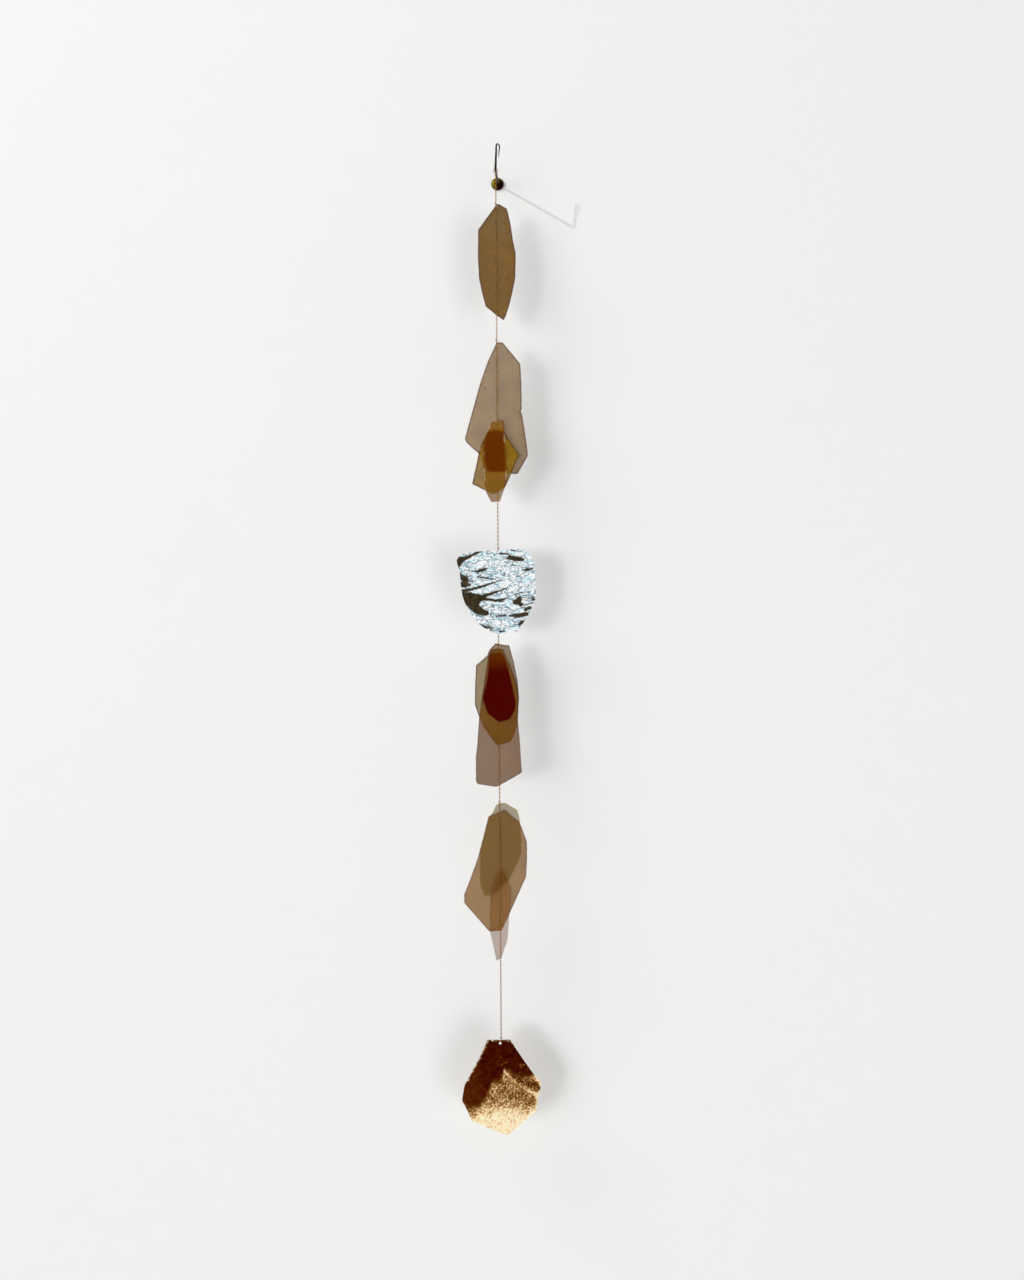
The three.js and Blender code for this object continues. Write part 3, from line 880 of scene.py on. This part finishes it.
# Lines in millimetres right and up from the plate's hole: the lower edge of the painted dark reflection from
# left to right, the ridge's painted highlight that runs down to the right below it, and the other streaks of
# painted highlight and painted shade.
DARK_REFLECTION_EDGE = [
    (-46, -56), (-36.5, -58.3), (-31.3, -62.5), (-25.0, -63.0), (-19.8, -60.2), (-15.4, -54.5),
    (-12.2, -46.8), (-9.0, -38.5), (-4.5, -36.0), (-0.1, -36.5), (2.5, -31.5), (3.5, -24.0), (7.0, -26.4),
    (15.9, -30.9), (23.6, -33.4), (31.2, -31.5), (37.6, -30.9), (48, -30),
]
RIDGE_HIGHLIGHT = [(0.0, -24.0), (5.0, -28.5), (9.0, -33.5), (15.0, -39.0), (24.0, -45.5), (35.0, -51.0)]
CORNER_HIGHLIGHT = [(33.5, -33.0), (38.0, -37.0), (40.5, -41.0)]
HOLLOW_SHADE = [(13.0, -33.5), (20.0, -37.5), (29.0, -41.0), (38.0, -45.0)]
SIDE_SHADE = [(-33.0, -63.0), (-29.0, -71.0)]
SIDE_HIGHLIGHT = [(38.0, -52.0), (36.0, -66.0), (31.0, -72.0)]
# Painted highlight where the share is above 0, painted shade where it is below.
REFLECTION_STREAKS = [  # line, how much brighter it is, and how far to either side it reaches
    (RIDGE_HIGHLIGHT, 0.26, 3.2),
    (CORNER_HIGHLIGHT, 0.45, 4.0),
    (HOLLOW_SHADE, -0.27, 5.0),
    (SIDE_SHADE, -0.25, 7.0),
    (SIDE_HIGHLIGHT, 0.35, 5.0),
]


def near_line(points, line, reach):
    """1 on an open line, falling to 0 at reach from it."""
    away = distance_to(points, line + line[-2:0:-1])
    return soft(reach - away, 0, reach)


def below_dark_reflection(points):
    """How far each point lies under the painted dark reflection's lower edge, less than 0 inside it."""
    return np.interp(points[:, 0], *zip(*DARK_REFLECTION_EDGE)) - points[:, 1]


def foot(points, low, high):
    """Eases from 0 to 1 on the way down to the tip, from low to high millimetres under the hole."""
    return soft(-points[:, 1] - 0.15 * np.abs(points[:, 0] - 2), low, high)


def lit(points):
    """Painted brightness: 0 in the painted dark reflection at the top, 1 in the bright one at the foot."""
    x, y = points[:, 0], points[:, 1]
    wander = 1.6 * noise_at(points, 4, 3.3) + 1.0 * noise_at(points, 1.7, 6.1)
    clear = soft(below_dark_reflection(points) + wander, -2.5, 4.0)
    bright = 0.51 + 0.44 * foot(points, 53, 75) + 0.06 * noise_at(points, 6, 4.0)
    # Painted highlight and painted shade along each streak.
    for line, share, reach in REFLECTION_STREAKS:
        bright = bright + share * near_line(points, line, reach)
    # The painted dark reflection is a little lighter to the left, with lighter painted streaks on its right.
    dark = 0.05 + 0.10 * soft(-x - 10 - 0.3 * (y + 45), 0, 14) + 0.08 * noise_at(points, 5, 8.0)
    streak = 0.34 * soft(noise_at(points, 2.6, 1.5), 0.2, 0.6) * soft(x, -8, 4) * soft(-y, 6, 14)
    return np.clip(dark + streak, 0, 1) * (1 - clear) + bright * clear


def rough_zone(points):
    """How strongly the leaf is crinkled, which scales the crinkles' painted light and shade."""
    return np.clip(0.12 + 0.88 * soft(below_dark_reflection(points), -1, 5) * (1 - 0.5 * foot(points, 56, 76)), 0, 1)


def copper_paint():
    paint = Paint("copper leaf finish", IOR=1.5, Specular_IOR_Level=0.12)
    tone = paint.mark("lit")
    fine = paint.grain(0.0017, 3, twist=0.6)
    coarse = paint.grain(0.0042, 3, twist=0.8)
    # The crinkles' painted light and shade move the colour up and down the ramp.
    mixed = tone + paint.mark("crinkled") * ((fine - 0.5) * 2.1 + (coarse - 0.5) * 1.1)
    # Painted glints: pale chips along the rim, most at the left and the top.
    edge_glints = paint.ramp(paint.grain(0.0022, 2, seat=(0.2, 0, 0)) + paint.mark("flake") * 0.30, 0.72, 0.80)
    mixed = mixed + edge_glints * 0.8
    stops = [
        (0.0, (0.078, 0.0006, 0.0001)),
        (0.12, (0.150, 0.020, 0.0004)),
        (0.3, (0.22, 0.070, 0.007)),
        (0.5, (0.38, 0.170, 0.042)),
        (0.7, (0.72, 0.41, 0.17)),
        (0.88, (1.0, 0.77, 0.44)),
        (1.0, (1.0, 0.90, 0.62)),
    ]
    # The colour runs from the painted dark reflection at 0 to the painted bright reflection at 1.
    colour = paint.node("ValToRGB", {"stops": stops}, {0: mixed})
    rough = paint.ramp(tone, 0.1, 0.9, (0.42, 0.30))
    metal = paint.ramp(tone, 0.15, 0.95, (0.9, 0.1))
    bump = paint.dent(fine, 0.0003, 0.5)
    return paint.feed(Base_Color=colour, Roughness=rough, Metallic=metal, Normal=bump)


def copper_plate():
    node = "plate_6_copper"
    cut = Cut(node)
    outline = hand_cut(spaced(cut.outline, 0.7), 0.35, 5.3)
    hole = smaller(spaced(cut.hole, 0.5), 0.75)

    def lumps(x, y):
        return 0.6 * (1 - 2 * abs(wavy(x, y, 6, 2.2))) + 0.4 * (1 - 2 * abs(wavy(x, y, 2.8, 5.9)))

    def bow(x, y):
        return -0.6 * ((y + 40) / 44) ** 2 - 0.3 * (x / 36) ** 2

    def front(x, y):
        part = min(1.0, max(0.2, 1 - abs((y + 46) / 24) ** 2))
        return bow(x, y) + 0.3 + 0.5 * (lumps(x, y) - 0.5) * part

    def back(x, y):
        return bow(x, y) - 0.4 + 0.2 * (lumps(x, y) - 0.5)

    # Where the painted glints of the split edge lie: near the rim, at the left and the top.
    def flake(points):
        reach = soft(-distance_to(points, outline), -3.0, -0.4)
        left = soft(-points[:, 0] - 10, -2, 4) * soft(points[:, 1] + 40, -2, 4)
        top = soft(points[:, 1] + 5, 0, 4)
        return reach * np.maximum(left, top)

    marks = {"lit": lit, "crinkled": rough_zone, "flake": flake}
    mesh = sheet_mesh(node, cut, 0.8, outline, hole, front, back, marks, rims=(0.4,))
    return piece("plate-6-copper", mesh, copper_paint(), node, smooth=60)


# ---- Chain and rings ----

CHAIN_SIZES = {
    "Links": 432,
    "Link length": 2.72 * MM,  # to the middle of the wire, as the width is
    "Link width": 1.05 * MM,
    "Wire radius": 0.25 * MM,
    "Looseness": 0.12,  # how far a link strays from its quarter turn, in radians
}
CHAIN_END = 1.5 * MM  # from the CAD chain's end to the middle of the last link
RING_WIRE = 0.25 * MM  # the rings' wire radius
RING_SPLIT = 0.25 * MM  # the gap between the wire's ends
SPLIT_PLACE = math.radians(200)  # where round the ring the gap is
RING_STEPS = 40
RING_SIDES = 10


def brass_paint(name, colour, dark, rough=0.3, metallic=0.9):
    paint = Paint(name, IOR=1.5, Metallic=metallic, Specular_IOR_Level=0.15)
    tarnish = paint.ramp(paint.grain(0.004, 4), 0.42, 0.68)
    shade = paint.blend(tarnish * 0.6, colour, dark)
    # Painted shade: links turned a quarter turn are painted darker.
    shade = paint.blend(paint.mark("turned") * 0.8, shade, dark)
    scratch = paint.grain(0.0012, 3)
    roughness = paint.ramp(scratch, 0.3, 0.8, (rough - 0.06, rough + 0.12))
    bump = paint.dent(scratch, 0.0001, 0.3)
    return paint.feed(Base_Color=shade, Roughness=roughness, Normal=bump)


def rose_paint():
    """Old brass, olive where it is rubbed, and painted shade makes it nearly black at its lower right."""
    paint = Paint("rose brass", IOR=1.5, Metallic=0.9)
    tarnish = paint.ramp(paint.grain(0.003, 4), 0.35, 0.65)
    shade = paint.blend(tarnish, (0.20, 0.165, 0.004), (0.10, 0.05, 0.004))
    # Painted shade: darker towards the lower right, as on a ball lit from the upper left.
    shaded_side = paint.ramp(paint.along((0.8, 0, -0.6)), -0.001, 0.004)
    shade = paint.blend(shaded_side, shade, (0.035, 0.004, 0.003))
    rough = paint.ramp(tarnish, 0.0, 1.0, (0.25, 0.42))
    bump = paint.dent(paint.grain(0.0015, 3), 0.0001, 0.4)
    return paint.feed(Base_Color=shade, Roughness=rough, Normal=bump)


def chain_tree(material):
    """Oval wire links set along a line, each a quarter turn from the last."""
    tree = bpy.data.node_groups.new("link chain", "GeometryNodeTree")
    face = tree.interface
    face.new_socket("Line", in_out="INPUT", socket_type="NodeSocketGeometry")
    for name, value in CHAIN_SIZES.items():
        kind = "NodeSocketInt" if name == "Links" else "NodeSocketFloat"
        face.new_socket(name, in_out="INPUT", socket_type=kind).default_value = value
    face.new_socket("Chain", in_out="OUTPUT", socket_type="NodeSocketGeometry")
    nodes = Nodes(tree)
    node = nodes.node

    def given(name):
        return node("NodeGroupInput", out=name)

    line = node("GeometryNodeMeshToCurve", {}, {"Mesh": given("Line")})
    spots = node("GeometryNodeResampleCurve", {"mode": "COUNT"}, {"Curve": line, "Count": given("Links")})

    circle = "GeometryNodeCurvePrimitiveCircle"
    ring = node(circle, {"mode": "RADIUS"}, {"Resolution": 12, "Radius": 0.5})
    stretch = node("CombineXYZ", {}, {"X": given("Link width"), "Y": given("Link length"), "Z": 1.0})
    oval = node("GeometryNodeTransform", {}, {"Geometry": ring, "Scale": stretch})
    upright = node("GeometryNodeTransform", {}, {"Geometry": oval, "Rotation": (math.pi / 2, 0, 0)})
    wire = node(circle, {"mode": "RADIUS"}, {"Resolution": 5, "Radius": given("Wire radius")})
    link = node("GeometryNodeCurveToMesh", {}, {"Curve": upright, "Profile Curve": wire})

    odd = node("GeometryNodeInputIndex") % 2
    stray = {2: given("Looseness") * -1, 3: given("Looseness"), "Seed": 7}
    loose = node("FunctionNodeRandomValue", {"data_type": "FLOAT"}, stray, out=1)
    angle = (odd * (math.pi / 2) + math.pi / 2) + loose
    turn = node("CombineXYZ", {}, {"Z": angle})
    laid = node("GeometryNodeInstanceOnPoints", {}, {"Points": spots, "Instance": link, "Rotation": turn})
    # Marks the turned links, which brass_paint paints darker as painted shade.
    told = node(
        "GeometryNodeStoreNamedAttribute", {"data_type": "FLOAT", "domain": "INSTANCE"},
        {"Geometry": laid, "Name": "turned", "Value": odd},
    )
    real = node("GeometryNodeRealizeInstances", {}, {"Geometry": told})
    brass = node("GeometryNodeSetMaterial", {}, {"Geometry": real, "Material": material})
    node("NodeGroupOutput", {}, {"Chain": brass})
    return tree


def chain(material):
    low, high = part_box("chain")
    x, y = (low.x + high.x) / 2, (low.y + high.y) / 2
    line = bpy.data.meshes.new("chain line")
    line.from_pydata([(x, y, high.z - CHAIN_END), (x, y, low.z + CHAIN_END)], [(0, 1)], [])
    made = add("chain maker", line)
    links = made.modifiers.new("links", "NODES")
    links.node_group = chain_tree(material)
    for item in links.node_group.interface.items_tree:
        if item.name in CHAIN_SIZES:
            links[item.identifier] = CHAIN_SIZES[item.name]
    graph = bpy.context.evaluated_depsgraph_get()
    mesh = bpy.data.meshes.new_from_object(made.evaluated_get(graph))
    made.modifiers.remove(links)
    bpy.data.objects.remove(made)
    return piece("chain-links", mesh, material, "chain", smooth=80)


def wire_ring(node, material):
    """A bent wire ring in the place of a CAD ring, with the small gap where its ends meet."""
    name = node.replace("_", "-")
    points = np.array([v.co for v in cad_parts[node].data.vertices])
    middle = (points.max(0) + points.min(0)) / 2
    _, _, axes = np.linalg.svd(points - middle, full_matrices=False)
    across, along, axis = (Vector(a) for a in axes)
    centre = Vector(middle)
    radius = max((Vector(p) - centre).length for p in points) - RING_WIRE
    gap = RING_SPLIT / radius
    solid, faces = [], []
    for i in range(RING_STEPS + 1):
        angle = SPLIT_PLACE + gap / 2 + (2 * math.pi - gap) * i / RING_STEPS
        way = across * math.cos(angle) + along * math.sin(angle)
        for j in range(RING_SIDES):
            turn = 2 * math.pi * j / RING_SIDES
            beyond, aside = RING_WIRE * math.cos(turn), RING_WIRE * math.sin(turn)
            solid.append(centre + way * (radius + beyond) + axis * aside)
    for i in range(RING_STEPS):
        for j in range(RING_SIDES):
            a, b = i * RING_SIDES + j, i * RING_SIDES + (j + 1) % RING_SIDES
            faces.append((a, b, b + RING_SIDES, a + RING_SIDES))
    faces.append(tuple(range(RING_SIDES))[::-1])
    faces.append(tuple(RING_STEPS * RING_SIDES + j for j in range(RING_SIDES)))
    mesh = faced_out(mesh_of(name, solid, faces))
    return piece(name, mesh, material, node, smooth=50)


# ---- Rose and hook arm ----

ROSE_SEGMENTS = 96
ROSE_CORNER = 0.25  # millimetres taken off the back's edge
ROSE_RIM = 0.8  # the straight side's height, in millimetres
ROSE_BORE = 1.75  # the hole that the arm sits in, in millimetres from the middle
ROSE_FLOOR = 1.2  # the bore's bottom, in millimetres from the wall
DOME_STEPS = 14


def lathed(name, profile, centre):
    """A round piece about a line along Y. profile is (radius, out) in millimetres from its back's middle."""
    solid, faces = [], []
    rows = []
    for radius, out in profile:
        row = []
        for j in range(ROSE_SEGMENTS if radius else 1):
            angle = 2 * math.pi * j / ROSE_SEGMENTS
            row.append(len(solid))
            solid.append(centre + Vector((radius * math.cos(angle), -out, radius * math.sin(angle))) * MM)
        rows.append(row)
    for lower, upper in zip(rows, rows[1:]):
        for j in range(ROSE_SEGMENTS):
            k = (j + 1) % ROSE_SEGMENTS
            below = [lower[j % len(lower)], lower[k % len(lower)]]
            above = [upper[k % len(upper)], upper[j % len(upper)]]
            faces.append(tuple(dict.fromkeys(below + above)))
    return faced_out(mesh_of(name, solid, faces))


def rose(material):
    low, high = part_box("wall_rose")
    radius = (high.x - low.x) / 2 / MM
    height = (high.y - low.y) / MM
    profile = [(0, 0), (radius - ROSE_CORNER, 0), (radius, ROSE_CORNER)]
    for i in range(DOME_STEPS + 1):
        angle = i / DOME_STEPS * math.pi / 2
        wide = ROSE_BORE + (radius - ROSE_BORE) * math.cos(angle) ** 0.8
        profile.append((wide, ROSE_RIM + (height - ROSE_RIM) * math.sin(angle)))
    bore = ROSE_BORE - 0.05
    profile += [(bore, height - 0.3), (bore, ROSE_FLOOR), (0, ROSE_FLOOR)]
    mesh = lathed("wall-rose", profile, Vector((0, high.y, 0)))
    return piece("wall-rose", mesh, material, "wall_rose", smooth=40)


ARM_FULLNESS = 0.12 * MM  # the arm is made this much fuller all round, since the rounding slims it


def hook_arm(material):
    shape = cad_shape("hook_arm")
    for v in shape.verts:
        v.co += v.normal * ARM_FULLNESS
    mesh = bpy.data.meshes.new("hook-arm")
    shape.to_mesh(mesh)
    shape.free()
    made = piece("hook-arm", mesh, material, "hook_arm", smooth=80)
    rounder = made.modifiers.new("rounder", "SUBSURF")
    rounder.levels = rounder.render_levels = 1
    return made


# ---- The whole mobile ----

set_camera()
floor = set_stage()
window, lamp, low_left, low_right = set_lights()

chain_brass = brass_paint("chain brass", (0.62, 0.33, 0.055), (0.20, 0.08, 0.012))
ring_brass = brass_paint("ring brass", (0.50, 0.21, 0.03), (0.14, 0.05, 0.01))
arm_bronze = brass_paint("arm bronze", (0.030, 0.009, 0.004), (0.006, 0.002, 0.002), 0.45, 0.0)

rose(rose_paint())
hook_arm(arm_bronze)
fine_chain = chain(chain_brass)
rings = [wire_ring(node, ring_brass) for node in sorted(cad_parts) if node.startswith("ring_")]
micas = {name: mica_plate(name) for name in MICA}
silver = silver_plate()
copper = copper_plate()

lowest_micas = [made for name, made in micas.items() if name.startswith("5")]
lets_pass(window, lowest_micas)
lets_pass(low_left, [floor, *lowest_micas])
lets_pass(low_right, [floor, *(made for name, made in micas.items() if name != "1")])
lets_pass(lamp, [*micas.values(), silver, copper, fine_chain, *rings])
